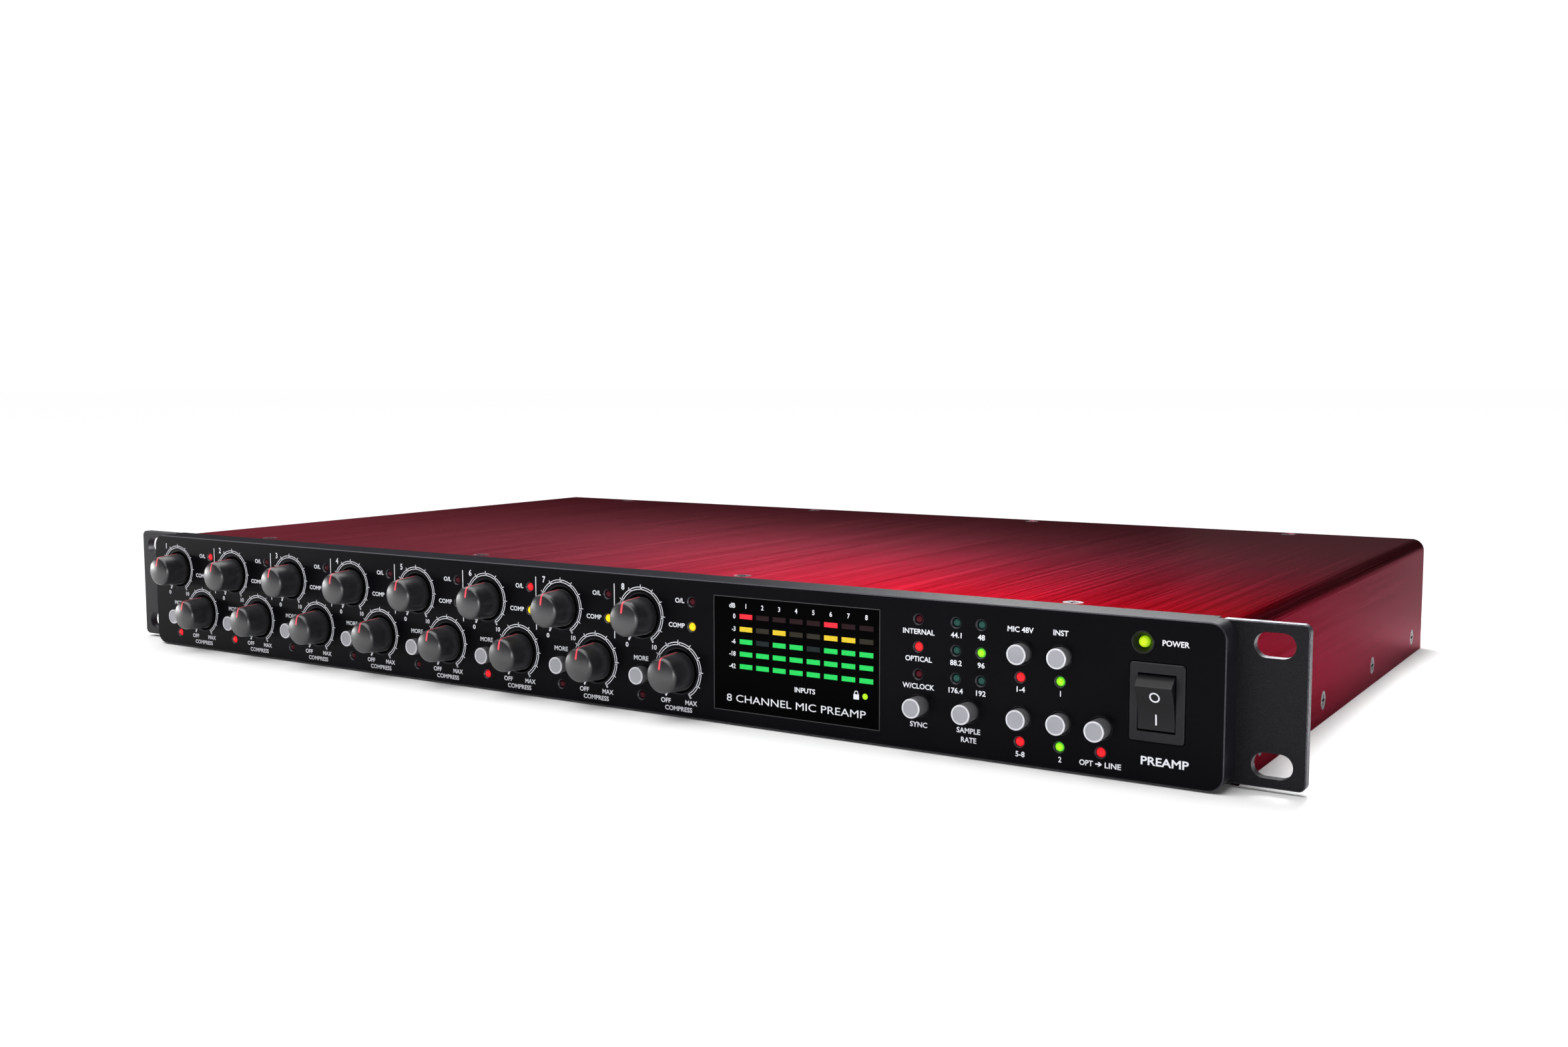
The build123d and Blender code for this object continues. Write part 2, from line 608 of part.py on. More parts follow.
def rear_screws():
    """Panel screws of the combination sockets and the mains inlet."""
    places = [(x - 9.8, z + 11.6, REAR_FACE + 1.9) for x, z in COMBOS]
    places += [(x + 9.8, z - 11.6, REAR_FACE + 1.9) for x, z in COMBOS]
    places += [(INLET[0] + s * 20, INLET[1], REAR_FACE + 2.6) for s in (-1, 1)]
    solids = []
    for x, z, y in places:
        head = rod_y(x, z, 2.3, y, y + 1.5)
        head = fillet(head.faces().sort_by(Axis.Y)[-1].edges(), 0.7)
        cross = Pos(x, y + 1.2, z) * Rot(-90, 0, 0) * cross_cut(2.4)
        solids.append(head + rod_y(x, z, 1.25, y - 5, y + 0.5) - cross)
    return solids


# ---------------------------------------------------------------- write every node
cap, pointer, shaft = knob()
for row, places in (("gain", GAIN), ("comp", COMP)):
    for k, (x, z) in enumerate(places):
        placed = [Pos(x, 0, z) * piece for piece in (cap, pointer, shaft)]
        save(f"{row}_knob_{k + 1}", *placed)
for name, (x, z, proud) in BUTTONS.items():
    save(name, button(x, z, proud))
save("power_rocker", power_rocker())
save("rocker_frame", rocker_frame())
save("ear_plate", ear_plate())
save("front_bezel", front_bezel())
save("top_cover", top_cover())
save("cover_screws", *cover_screws())
save("base_tray", base_tray())
save("rear_panel", rear_panel())
save("meter_window", meter_window())
save("meter_bars", *meter_bars())
save("meter_housing", meter_housing())
save("indicator_lights", *indicator_lights())
save("power_light_bush", power_light_bush())
save("potentiometers", *potentiometers())
save("button_switches", *button_switches())
save("front_board", front_board())
save("main_board", deck(-215, 118, 55, 226))
save("supply_board", deck(124, 214, 92, 218))
save("board_components", *board_components())
save("standoffs", *standoffs())
save("wiring", *wiring())
save("mains_inlet", *mains_inlet())
save("combo_sockets", *combo_sockets())
save("line_jacks", *line_jacks())
save("optical_ports", *optical_ports())
save("clock_sockets", *clock_sockets())
save("rear_screws", *rear_screws())
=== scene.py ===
"""Looks of the rack-mounted microphone preamp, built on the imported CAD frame.

Everything is in metres in the row frame: X right seen from the front, Y to the back, Z up. Layout
values below are millimetres and are multiplied by MM.
"""

import math

import bmesh
import bpy
from mathutils import Matrix, Vector


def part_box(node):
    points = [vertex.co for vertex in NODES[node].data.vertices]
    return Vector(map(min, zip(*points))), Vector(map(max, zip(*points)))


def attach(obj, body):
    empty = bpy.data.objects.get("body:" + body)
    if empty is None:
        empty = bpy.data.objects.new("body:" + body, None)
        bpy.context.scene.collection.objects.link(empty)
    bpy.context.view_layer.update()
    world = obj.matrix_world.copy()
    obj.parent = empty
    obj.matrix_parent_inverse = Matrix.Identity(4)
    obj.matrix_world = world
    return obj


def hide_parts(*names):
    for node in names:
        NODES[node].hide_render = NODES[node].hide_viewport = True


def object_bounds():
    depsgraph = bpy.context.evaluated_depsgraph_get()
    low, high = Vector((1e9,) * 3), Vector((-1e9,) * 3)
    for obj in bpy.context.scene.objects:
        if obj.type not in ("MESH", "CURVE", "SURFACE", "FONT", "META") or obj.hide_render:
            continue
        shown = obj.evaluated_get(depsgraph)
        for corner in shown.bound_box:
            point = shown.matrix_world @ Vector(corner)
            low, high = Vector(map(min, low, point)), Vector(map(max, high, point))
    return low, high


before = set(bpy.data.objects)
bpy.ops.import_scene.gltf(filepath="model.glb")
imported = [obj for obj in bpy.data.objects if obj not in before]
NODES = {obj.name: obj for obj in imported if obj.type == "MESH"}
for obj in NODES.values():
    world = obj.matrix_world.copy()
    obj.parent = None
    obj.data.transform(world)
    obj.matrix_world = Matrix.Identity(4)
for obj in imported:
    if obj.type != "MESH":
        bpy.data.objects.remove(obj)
CAD_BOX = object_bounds()

MM = 0.001
CHANNELS = 8
BODY = "chassis"

# ---------------------------------------------------------------- places read from the frame
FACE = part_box("front_bezel")[0].y
WINDOW_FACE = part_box("meter_window")[0].y
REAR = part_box("rear_panel")[1].y


def centre(node):
    """Centre of a CAD node's box."""
    low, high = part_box(node)
    return (low + high) / 2


GAIN = [centre(f"gain_knob_{k + 1}") for k in range(CHANNELS)]
COMP = [centre(f"comp_knob_{k + 1}") for k in range(CHANNELS)]

# ---------------------------------------------------------------- layout, millimetres
INK = 0.02                # thickness of print
CAP = 1.55                # height of the legends' capitals
LINE = 0.25               # width of printed lines
PRINT_UP = 0.35           # the rings are printed this far above the knobs' axes
RING_IN = 8.3
RING_OUT = 9.05
TICK_OUT = 9.85
RING_SWEEP = 150          # degrees either way from 12 o'clock
RING_PARTS = 10
END_MARK = 0.62

KNOB_GAP = 0.45           # the base of a knob stands this far behind the bezel's face
KNOB_BASE_R = 6.25
KNOB_TOP_R = 5.72
KNOB_BORE_R = 3.4
SHOULDER_R = 1.57
SHOULDER_DEPTH = 2.15     # from the middle of the knob's face back to the shoulder
POINTER_START = 1.9       # from the knob's axis
POINTER_WIDE = 0.74
POINTER_THIN = 0.36

BUTTON_R = 2.85
BUTTON_STEM_R = 1.2
BUTTON_SKIRT = 7.0        # the skirt ends this far behind the bezel's face
BUTTON_FACE_R = 2.38

LIGHT_SHIFT = 20.3        # from a level knob to the lights at its right
OVER_Z = 37.78
ACTIVE_Z = 29.78
MORE_LIGHT_Z = 5.8
LIT_LENS = (1.28, 0.1)    # radius, and how far behind the face it starts
DARK_LENS = (1.12, 0.3)
POWER_LENS_R = 1.55

BAR_X = 73.9
BAR_PITCH = 6.115
BAR_Z = (34.7, 30.7, 26.8, 22.9, 19.0)
BAR_SIZE = (4.67, 1.5)
EDGE_LINE = 0.1           # half the width of the line round the meter window


# ---------------------------------------------------------------- material tools
class Surface:
    """Principled material with helpers that add procedural detail."""

    def __init__(self, name, colour, rough=0.5, metallic=0.0, specular=0.5):
        self.mat = bpy.data.materials.new(name)
        self.mat.use_nodes = True
        self.nodes = self.mat.node_tree.nodes
        self.links = self.mat.node_tree.links
        self.bsdf = self.nodes["Principled BSDF"]
        self.set("Base Color", (*colour, 1.0))
        self.set("Roughness", rough)
        self.set("Metallic", metallic)
        self.set("Specular IOR Level", specular)
        self.coords = self.nodes.new("ShaderNodeTexCoord").outputs["Object"]
        self.height = None

    def set(self, socket, value):
        """Gives a shader socket one value all over."""
        self.bsdf.inputs[socket].default_value = value

    def join(self, output, socket):
        """Feeds a shader socket from a node."""
        self.links.new(output, self.bsdf.inputs[socket])

    def noise(self, stretch, detail=3.0, rough=0.55):
        """Noise with its own scale along each axis, in features per metre."""
        mapping = self.nodes.new("ShaderNodeMapping")
        mapping.inputs["Scale"].default_value = stretch
        self.links.new(self.coords, mapping.inputs["Vector"])
        noise = self.nodes.new("ShaderNodeTexNoise")
        noise.inputs["Scale"].default_value = 1.0
        noise.inputs["Detail"].default_value = detail
        noise.inputs["Roughness"].default_value = rough
        self.links.new(mapping.outputs["Vector"], noise.inputs["Vector"])
        return noise.outputs["Fac"]

    def ramp(self, factor, low, high, start=0.3, end=0.7):
        """Two colours over a factor."""
        ramp = self.nodes.new("ShaderNodeValToRGB")
        ramp.color_ramp.elements[0].position = start
        ramp.color_ramp.elements[0].color = (*low, 1.0)
        ramp.color_ramp.elements[1].position = end
        ramp.color_ramp.elements[1].color = (*high, 1.0)
        self.links.new(factor, ramp.inputs["Fac"])
        return ramp.outputs["Color"]

    def spread(self, factor, low, high, start=0.3, end=0.7):
        """A number over a factor."""
        remap = self.nodes.new("ShaderNodeMapRange")
        for socket, value in (("From Min", start), ("From Max", end), ("To Min", low), ("To Max", high)):
            remap.inputs[socket].default_value = value
        self.links.new(factor, remap.inputs["Value"])
        return remap.outputs["Result"]

    def mix(self, factor, a, b):
        """Colour a where the factor is 0 and b where it is 1."""
        mix = self.nodes.new("ShaderNodeMix")
        mix.data_type = "RGBA"
        self.links.new(factor, mix.inputs["Factor"])
        for value, socket in ((a, mix.inputs[6]), (b, mix.inputs[7])):
            if isinstance(value, tuple):
                socket.default_value = (*value, 1.0)
            else:
                self.links.new(value, socket)
        return mix.outputs[2]

    def maths(self, operation, a, b=0.0):
        """A sum of two values, each a number or a node's output."""
        node = self.nodes.new("ShaderNodeMath")
        node.operation = operation
        for value, socket in zip((a, b), node.inputs):
            if isinstance(value, (int, float)):
                socket.default_value = value
            else:
                self.links.new(value, socket)
        return node.outputs[0]

    def axis_of_normal(self, axis):
        """Size of the true normal's part along an axis, 0 to 1."""
        geometry = self.nodes.new("ShaderNodeNewGeometry")
        split = self.nodes.new("ShaderNodeSeparateXYZ")
        self.links.new(geometry.outputs["True Normal"], split.inputs[0])
        return self.maths("ABSOLUTE", split.outputs[axis])

    def outside(self, middle, half):
        """1 where a point is further from the middle than half, along X or Z, and 0 inside."""
        split = self.nodes.new("ShaderNodeSeparateXYZ")
        self.links.new(self.coords, split.inputs[0])
        found = None
        for axis in (0, 2):
            away = self.maths("ABSOLUTE", self.maths("SUBTRACT", split.outputs[axis], middle[axis]))
            past = self.maths("GREATER_THAN", away, half[axis])
            found = past if found is None else self.maths("MAXIMUM", found, past)
        return found

    def bump(self, factor, depth, strength=1.0):
        """Adds relief of that depth in metres."""
        bump = self.nodes.new("ShaderNodeBump")
        bump.inputs["Distance"].default_value = depth
        bump.inputs["Strength"].default_value = strength
        self.links.new(factor, bump.inputs["Height"])
        if self.height is not None:
            self.links.new(self.height, bump.inputs["Normal"])
        self.height = bump.outputs["Normal"]
        self.join(self.height, "Normal")


def shades(colour, amount):
    """The colour, darker and lighter by that share."""
    return tuple(c * (1 - amount) for c in colour), tuple(min(1.0, c * (1 + amount)) for c in colour)


def plain(name, colour, rough, metallic=0.0, specular=0.5, grain=2500.0, depth=4e-6, vary=0.12):
    """Moulded, plated or painted surface with fine grain and slight unevenness."""
    s = Surface(name, colour, rough, metallic, specular)
    soft = s.noise((60.0, 60.0, 60.0))
    s.join(s.ramp(soft, *shades(colour, vary)), "Base Color")
    s.join(s.spread(soft, rough * 0.9, min(1.0, rough * 1.1)), "Roughness")
    s.bump(s.noise((grain, grain, grain)), depth, 0.6)
    return s


def bezel_black():
    """Satin black paint; the chamfer round the outside is bare. The front face is painted darker than the top
    and sides, as painted shade, and all bevels, the holes' too, are painted lighter grey, as a painted
    highlight.
    """
    s = Surface("bezel_black", (0.003, 0.003, 0.004), 0.3, 0.0, 0.038)
    flat = s.axis_of_normal(1)
    angled = s.maths("MULTIPLY", s.maths("GREATER_THAN", flat, 0.3), s.maths("LESS_THAN", flat, 0.93))
    front = s.maths("GREATER_THAN", flat, 0.93)
    low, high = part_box("front_bezel")
    band = 1.8 * MM
    rim = s.outside((low + high) / 2, (high - low) / 2 - Vector((band, band, band)))
    chamfer = s.maths("MULTIPLY", angled, rim)
    grain = s.noise((3500.0, 3500.0, 3500.0))
    cloud = s.noise((35.0, 35.0, 35.0))
    face = s.ramp(cloud, (0.0012, 0.0012, 0.002), (0.0022, 0.0022, 0.0034))
    # the front face is painted darker than the top and sides: painted shade
    paint = s.mix(front, (0.009, 0.009, 0.012), face)
    # bevels, the holes' bevels too, are painted lighter grey: a painted highlight
    paint = s.mix(angled, paint, (0.05, 0.05, 0.056))
    bare = s.ramp(grain, (0.025, 0.025, 0.03), (0.06, 0.06, 0.07))
    s.join(s.mix(chamfer, paint, bare), "Base Color")
    s.join(s.spread(angled, 0.0, 0.5, 0.0, 1.0), "Metallic")
    s.join(s.spread(grain, 0.3, 0.38), "Roughness")
    s.bump(grain, 3e-6, 0.5)
    return s


def ear_powder():
    """Fine textured powder coat; the cut edges are lighter and metallic."""
    s = Surface("ear_powder", (0.012, 0.012, 0.014), 0.5, 0.0, 0.14)
    flat = s.axis_of_normal(1)
    cut = s.maths("LESS_THAN", flat, 0.9)
    pebbles = s.noise((2600.0, 2600.0, 2600.0), 3.0)
    streaks = s.noise((900.0, 5000.0, 900.0))
    paint = s.ramp(pebbles, (0.003, 0.003, 0.004), (0.009, 0.009, 0.012), 0.35, 0.65)
    metal = s.ramp(streaks, (0.014, 0.014, 0.018), (0.09, 0.09, 0.1))
    s.join(s.mix(cut, paint, metal), "Base Color")
    s.join(s.maths("MULTIPLY", cut, 0.8), "Metallic")
    s.join(s.spread(pebbles, 0.38, 0.6), "Roughness")
    s.bump(pebbles, 5e-5, 1.0)
    return s


def cover_red():
    """Red anodised aluminium, brushed from front to back; the sides are painted duller and darker than the
    top, as painted shade.
    """
    s = Surface("cover_red", (0.22, 0.016, 0.03), 0.3, 1.0, 0.5)
    side = s.axis_of_normal(0)
    fine = s.noise((4200.0, 9.0, 4200.0), 2.0, 0.6)
    coarse = s.noise((1500.0, 4.0, 1500.0), 1.0, 0.5)
    brushed = s.maths("ADD", s.maths("MULTIPLY", fine, 0.75), s.maths("MULTIPLY", coarse, 0.25))
    top = s.ramp(brushed, (0.165, 0.032, 0.045), (0.285, 0.066, 0.089), 0.36, 0.64)
    # the walls get a duller, darker copy of the top's colour: painted shade
    shaded_wall = s.ramp(brushed, (0.095, 0.026, 0.031), (0.275, 0.092, 0.104), 0.36, 0.64)
    s.join(s.mix(side, top, shaded_wall), "Base Color")
    # the paler specular tint on the walls is part of the same painted shade
    s.join(s.mix(side, (0.55, 0.1, 0.15), (0.42, 0.25, 0.28)), "Specular Tint")
    s.join(s.spread(brushed, 0.275, 0.355, 0.35, 0.65), "Roughness")
    s.set("Anisotropic", 0.7)
    geometry = s.nodes.new("ShaderNodeNewGeometry")
    across = s.nodes.new("ShaderNodeVectorMath")
    across.operation = "CROSS_PRODUCT"
    across.inputs[1].default_value = (0.0, 1.0, 0.0)
    s.links.new(geometry.outputs["True Normal"], across.inputs[0])
    s.join(across.outputs["Vector"], "Tangent")
    s.bump(fine, 2.5e-6, 0.3)
    return s


def knob_rubber():
    """Soft-touch rubber with a broad soft gloss."""
    s = Surface("knob_rubber", (0.008, 0.008, 0.009), 0.33, 0.0, 0.75)
    cloud = s.noise((420.0, 420.0, 420.0))
    s.join(s.ramp(cloud, (0.008, 0.008, 0.0095), (0.013, 0.013, 0.0155)), "Base Color")
    s.join(s.spread(cloud, 0.3, 0.38), "Roughness")
    s.set("Sheen Weight", 0.1)
    s.set("Sheen Roughness", 0.3)
    s.bump(s.noise((6000.0, 6000.0, 6000.0)), 4e-6, 0.5)
    return s


def glow(name, colour, strength, rim=None):
    """A lit light: coloured plastic that gives off its colour, deeper towards the rim of the lens."""
    s = Surface(name, colour, 0.4, 0.0, 0.08)
    edge = s.nodes.new("ShaderNodeAttribute")
    edge.attribute_name = "rim"
    cloud = s.noise((900.0, 900.0, 900.0))
    tone = s.mix(edge.outputs["Fac"], s.ramp(cloud, *shades(colour, 0.03)), rim or shades(colour, 0.35)[0])
    s.join(s.mix(s.maths("MULTIPLY", cloud, 0.2), (0.02, 0.02, 0.02), tone), "Base Color")
    s.join(tone, "Emission Color")
    s.set("Emission Strength", strength)
    s.bump(s.noise((3000.0, 3000.0, 3000.0)), 3e-6, 0.3)
    return s


# ---------------------------------------------------------------- mesh tools
def mesh_object(name, bm, surface, body=BODY, smooth=True):
    """Turns a bmesh into a piece that rides on a body."""
    mesh = bpy.data.meshes.new(name)
    bmesh.ops.recalc_face_normals(bm, faces=bm.faces)
    bm.to_mesh(mesh)
    bm.free()
    mesh.materials.append(surface.mat)
    for polygon in mesh.polygons:
        polygon.use_smooth = smooth
    piece = bpy.data.objects.new(name, mesh)
    bpy.context.scene.collection.objects.link(piece)
    if body:
        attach(piece, body)
    return piece


def lathe(bm, profile, at, turns=72):
    """Turns (radius, y) points, in millimetres, about the Y axis through the point at (x, z metres)."""
    rings = []
    for radius, y in profile:
        if radius < 1e-6:
            rings.append([bm.verts.new((at[0], at[1] + y * MM, at[2]))])
            continue
        ring = []
        for k in range(turns):
            angle = 2 * math.pi * k / turns
            ring.append(bm.verts.new((at[0] + radius * MM * math.sin(angle), at[1] + y * MM,
                                      at[2] + radius * MM * math.cos(angle))))
        rings.append(ring)
    for a, b in zip(rings, rings[1:]):
        if len(a) == 1 and len(b) == 1:
            continue
        for k in range(turns):
            n = (k + 1) % turns
            corners = [a[k % len(a)], b[k % len(b)], b[n % len(b)], a[n % len(a)]]
            unique = list(dict.fromkeys(corners))
            if len(unique) > 2:
                bm.faces.new(unique)


def arc_points(centre_r, centre_y, radius, start, end, steps):
    """Points of an arc in the (radius, y) plane; 0 degrees points outwards, 90 to the front."""
    points = []
    for k in range(steps + 1):
        angle = math.radians(start + (end - start) * k / steps)
        points.append((centre_r + radius * math.cos(angle), centre_y - radius * math.sin(angle)))
    return points


def slab(bm, x0, x1, y0, y1, z0, z1):
    """Box between two corners, in metres."""
    made = bmesh.ops.create_cube(bm, size=1.0)["verts"]
    size = Vector((x1 - x0, y1 - y0, z1 - z0))
    middle = Vector((x0 + x1, y0 + y1, z0 + z1)) / 2
    for vert in made:
        vert.co = Vector((vert.co.x * size.x, vert.co.y * size.y, vert.co.z * size.z)) + middle
    return made


def flat_shape(bm, outline, y, thick=INK * MM):
    """A thin printed shape facing the front; the outline is a list of (x, z) in metres."""
    front = [bm.verts.new((x, y - thick, z)) for x, z in outline]
    back = [bm.verts.new((x, y, z)) for x, z in outline]
    bm.faces.new(front)
    count = len(outline)
    for k in range(count):
        n = (k + 1) % count
        bm.faces.new((front[k], back[k], back[n], front[n]))


def stroke(bm, x, z, x0, z0, x1, z1, y, width=LINE):
    """Printed straight line between two points, millimetres from a place in metres."""
    run = Vector((x1 - x0, z1 - z0))
    side = Vector((-run.y, run.x)).normalized() * width / 2
    corners = [(x0 + side.x, z0 + side.y), (x1 + side.x, z1 + side.y),
               (x1 - side.x, z1 - side.y), (x0 - side.x, z0 - side.y)]
    flat_shape(bm, [(x + a * MM, z + b * MM) for a, b in corners], y)


def arc_band(bm, x, z, inner, outer, start, end, y, steps=8):
    """Printed piece of a ring; angles are clockwise from 12 o'clock."""
    def point(radius, angle):
        a = math.radians(angle)
        return x + radius * MM * math.sin(a), z + radius * MM * math.cos(a)

    angles = [start + (end - start) * k / steps for k in range(steps + 1)]
    for a, b in zip(angles, angles[1:]):
        flat_shape(bm, [point(outer, a), point(outer, b), point(inner, b), point(inner, a)], y)


# ---------------------------------------------------------------- lettering
FONT_CAP = 0.729          # height of a capital in Blender's own font at size 1
FONT_NARROW = 0.9         # width of the legends' letters against that font's


def letters(bm, text, x, z, y, height=CAP, width=None, align="CENTER", weight=0.02, back=False):
    """Adds printed text, centred at a place in metres, with a set cap height and width in millimetres."""
    data = bpy.data.curves.new("letters", "FONT")
    data.body = text
    data.size = 1.0
    data.offset = weight
    data.resolution_u = 3
    made = bpy.data.objects.new("letters", data)
    bpy.context.scene.collection.objects.link(made)
    bpy.context.view_layer.update()
    mesh = bpy.data.meshes.new_from_object(made.evaluated_get(bpy.context.evaluated_depsgraph_get()))
    bpy.data.objects.remove(made)
    bpy.data.curves.remove(data)
    xs = [v.co.x for v in mesh.vertices]
    ys = [v.co.y for v in mesh.vertices]
    scale_z = height / FONT_CAP * MM
    natural = max(xs) - min(xs)
    scale_x = width * MM / natural if width else scale_z * FONT_NARROW
    shift = {"CENTER": (min(xs) + max(xs)) / 2, "RIGHT": max(xs), "LEFT": min(xs)}[align]
    middle = FONT_CAP / 2 if min(ys) > -0.1 else (min(ys) + max(ys)) / 2
    sign = -1.0 if back else 1.0
    for vert in mesh.vertices:
        vert.co = Vector((x + sign * (vert.co.x - shift) * scale_x, y - sign * INK * MM,
                          z + (vert.co.y - middle) * scale_z))
    bm.from_mesh(mesh)
    bpy.data.meshes.remove(mesh)


# ---------------------------------------------------------------- materials
M = {
    "bezel": bezel_black(),
    "ear": ear_powder(),
    "red": cover_red(),
    "knob": knob_rubber(),
    # near-black for the discs behind the knobs: painted shade in the holes
    "hole_shade": plain("hole_shade_black", (0.003, 0.003, 0.0035), 0.9, specular=0.05, grain=1400.0, depth=6e-5),
    "pointer": plain("pointer_red", (0.72, 0.055, 0.085), 0.4, vary=0.06),
    "cap": plain("button_side", (0.34, 0.34, 0.36), 0.34, 0.7, 0.5, 4500.0, 5e-6, 0.08),
    "cap_face": plain("button_face", (0.28, 0.28, 0.31), 0.5, 0.1, 0.5, 5200.0, 4e-5, 0.1),
    # the buttons' rim is painted lighter than the cap: a painted highlight
    "cap_rim_highlight": plain("button_rim_highlight", (0.56, 0.56, 0.6), 0.3, 0.1, 0.6, 4500.0, 3e-6, 0.04),
    "window": plain("window_smoke", (0.0005, 0.0005, 0.0007), 0.15, 0.0, 0.01, 300.0, 1e-6, 0.1),
    "ink": plain("ink_white", (0.66, 0.67, 0.72), 0.6, specular=0.2, vary=0.03),
    "plastic": plain("plastic_black", (0.016, 0.016, 0.018), 0.38, 0.0, 0.6, 3000.0, 1.2e-5),
    "rocker": plain("rocker_black", (0.0035, 0.0035, 0.0045), 0.3, 0.0, 0.2, 3000.0, 1.4e-5, 0.3),
    "bush": plain("bush_black", (0.004, 0.004, 0.0045), 0.3, 0.0, 0.2, 3000.0, 6e-6, 0.2),
    "frame": plain("rocker_frame_black", (0.007, 0.007, 0.009), 0.35, 0.0, 0.2, 2600.0, 1.2e-5, 0.3),
    "tray": plain("tray_black", (0.014, 0.014, 0.015), 0.5, 0.0, 0.4, 1800.0, 2e-5),
    "screw": plain("screw_steel", (0.045, 0.045, 0.052), 0.36, 0.35, 0.15, 2600.0, 6e-6),
    "nickel": plain("contact_nickel", (0.62, 0.6, 0.57), 0.25, 1.0, 0.5, 1500.0, 4e-6),
    "board": plain("board_green", (0.01, 0.09, 0.035), 0.35, vary=0.2),
    "part": plain("component_dark", (0.03, 0.03, 0.033), 0.5, vary=0.2),
    "cable": plain("cable_grey", (0.3, 0.3, 0.32), 0.5, vary=0.1),
    "switch": plain("switch_body", (0.012, 0.012, 0.012), 0.5),
    "lit_red": glow("lit_red", (1.0, 0.004, 0.012), 1.15),
    "lit_green": glow("lit_green", (0.42, 0.92, 0.0), 1.1, (0.0, 0.5, 0.02)),
    "lit_yellow": glow("lit_yellow", (1.0, 0.72, 0.0), 1.2, (0.9, 0.5, 0.0)),
    "lit_power": glow("lit_power", (0.7, 0.95, 0.0), 0.9, (0.2, 0.5, 0.0)),
    "off_red": plain("off_red", (0.05, 0.002, 0.007), 0.45, specular=0.12, vary=0.2),
    "off_green": plain("off_green", (0.014, 0.06, 0.05), 0.45, specular=0.12, vary=0.2),
    "bar_red": glow("bar_red", (0.96, 0.008, 0.03), 0.9, (0.96, 0.008, 0.03)),
    "bar_yellow": glow("bar_yellow", (0.84, 0.6, 0.01), 0.9, (0.84, 0.6, 0.01)),
    "bar_green": glow("bar_green", (0.0, 0.7, 0.1), 0.9, (0.0, 0.7, 0.1)),
    "dim_red": plain("dim_red", (0.012, 0.002, 0.004), 0.3, specular=0.1),
    "dim_yellow": plain("dim_yellow", (0.02, 0.017, 0.011), 0.3, specular=0.1),
    "dim_green": plain("dim_green", (0.006, 0.012, 0.013), 0.3, specular=0.1),
}

NODE_SURFACE = {
    "front_bezel": "bezel", "ear_plate": "ear", "top_cover": "red", "cover_screws": "screw",
    "base_tray": "tray", "rear_panel": "tray", "meter_window": "window", "meter_housing": "plastic",
    "power_light_bush": "bush", "rocker_frame": "frame", "power_rocker": "rocker",
    "potentiometers": "nickel", "button_switches": "switch", "front_board": "board",
    "main_board": "board", "supply_board": "board", "board_components": "part", "standoffs": "nickel",
    "wiring": "cable", "mains_inlet": "plastic", "combo_sockets": "plastic", "line_jacks": "plastic",
    "optical_ports": "plastic", "clock_sockets": "nickel", "rear_screws": "screw",
}
for node, key in NODE_SURFACE.items():
    slots = NODES[node].data.materials
    slots.clear()
    slots.append(M[key].mat)


# ---------------------------------------------------------------- knobs
def knob_profile(base, front):
    """Outline from the open base over the shoulder to the middle of the domed face."""
    shoulder = front + SHOULDER_DEPTH
    foot = base - 0.2
    points = [(KNOB_BORE_R, base), (KNOB_BASE_R - 0.2, base), (KNOB_BASE_R, foot)]
    for k in range(1, 11):
        points.append((KNOB_BASE_R - (KNOB_BASE_R - KNOB_TOP_R) * (k / 10) ** 1.2,
                       foot + (shoulder - foot) * k / 10))
    points += arc_points(KNOB_TOP_R - SHOULDER_R, shoulder, SHOULDER_R, 6, 64, 10)
    rim_r, rim_y = points[-1]
    for k in range(1, 13):
        t = 1 - k / 12
        points.append((rim_r * t, front + (rim_y - front) * t ** 2))
    return points


def pointer_strip(bm, profile, at):
    """Inlay that runs from a third of the face over the shoulder and down to the base."""
    path = [p for p in reversed(profile) if p[0] > POINTER_START]
    path = path[:next(k for k, p in enumerate(path) if p[1] > path[-1][1] - 0.3)]
    total = len(path)
    rows = []
    taper_from = 4
    for k, (radius, y) in enumerate(path):
        width = POINTER_WIDE
        if k == 0:
            width = 0.4
        elif k >= taper_from:
            along = (k - taper_from) / (total - taper_from)
            width = max(POINTER_THIN, 0.7 - POINTER_THIN * along * 1.8)
        before = path[max(0, k - 1)]
        after = path[min(total - 1, k + 1)]
        run = Vector((after[0] - before[0], after[1] - before[1])).normalized()
        normal = Vector((-run.y, run.x))
        on_side = radius > KNOB_TOP_R - 0.12
        if normal.x < 0 and on_side or normal.y > 0 and not on_side:
            normal = -normal
        row = []
        for lift in (0.03, -0.25):
            for side in (-0.5, 0.5):
                x = side * width
                depth = math.sqrt(radius ** 2 - x ** 2)
                row.append(bm.verts.new((at[0] + x * MM, at[1] + (y + normal.y * lift) * MM,
                                         at[2] + (depth + normal.x * lift) * MM)))
        rows.append(row)
    for a, b in zip(rows, rows[1:]):
        for p, q in ((0, 1), (1, 3), (3, 2), (2, 0)):
            bm.faces.new((a[p], a[q], b[q], b[p]))
    for row in (rows[0], rows[-1]):
        bm.faces.new((row[0], row[1], row[3], row[2]))


def make_knob(node):
    """Knob cap and its pointer, standing for the CAD knob."""
    low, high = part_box(node)
    at = ((low.x + high.x) / 2, 0.0, (low.z + high.z) / 2)
    profile = knob_profile(FACE / MM + KNOB_GAP, low.y / MM)
    bm = bmesh.new()
    lathe(bm, profile, at)
    cap = mesh_object(f"{node}_cap", bm, M["knob"], node)
    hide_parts(node)
    bm = bmesh.new()
    pointer_strip(bm, profile, at)
    mesh_object(f"{node}_pointer", bm, M["pointer"], node, smooth=False)


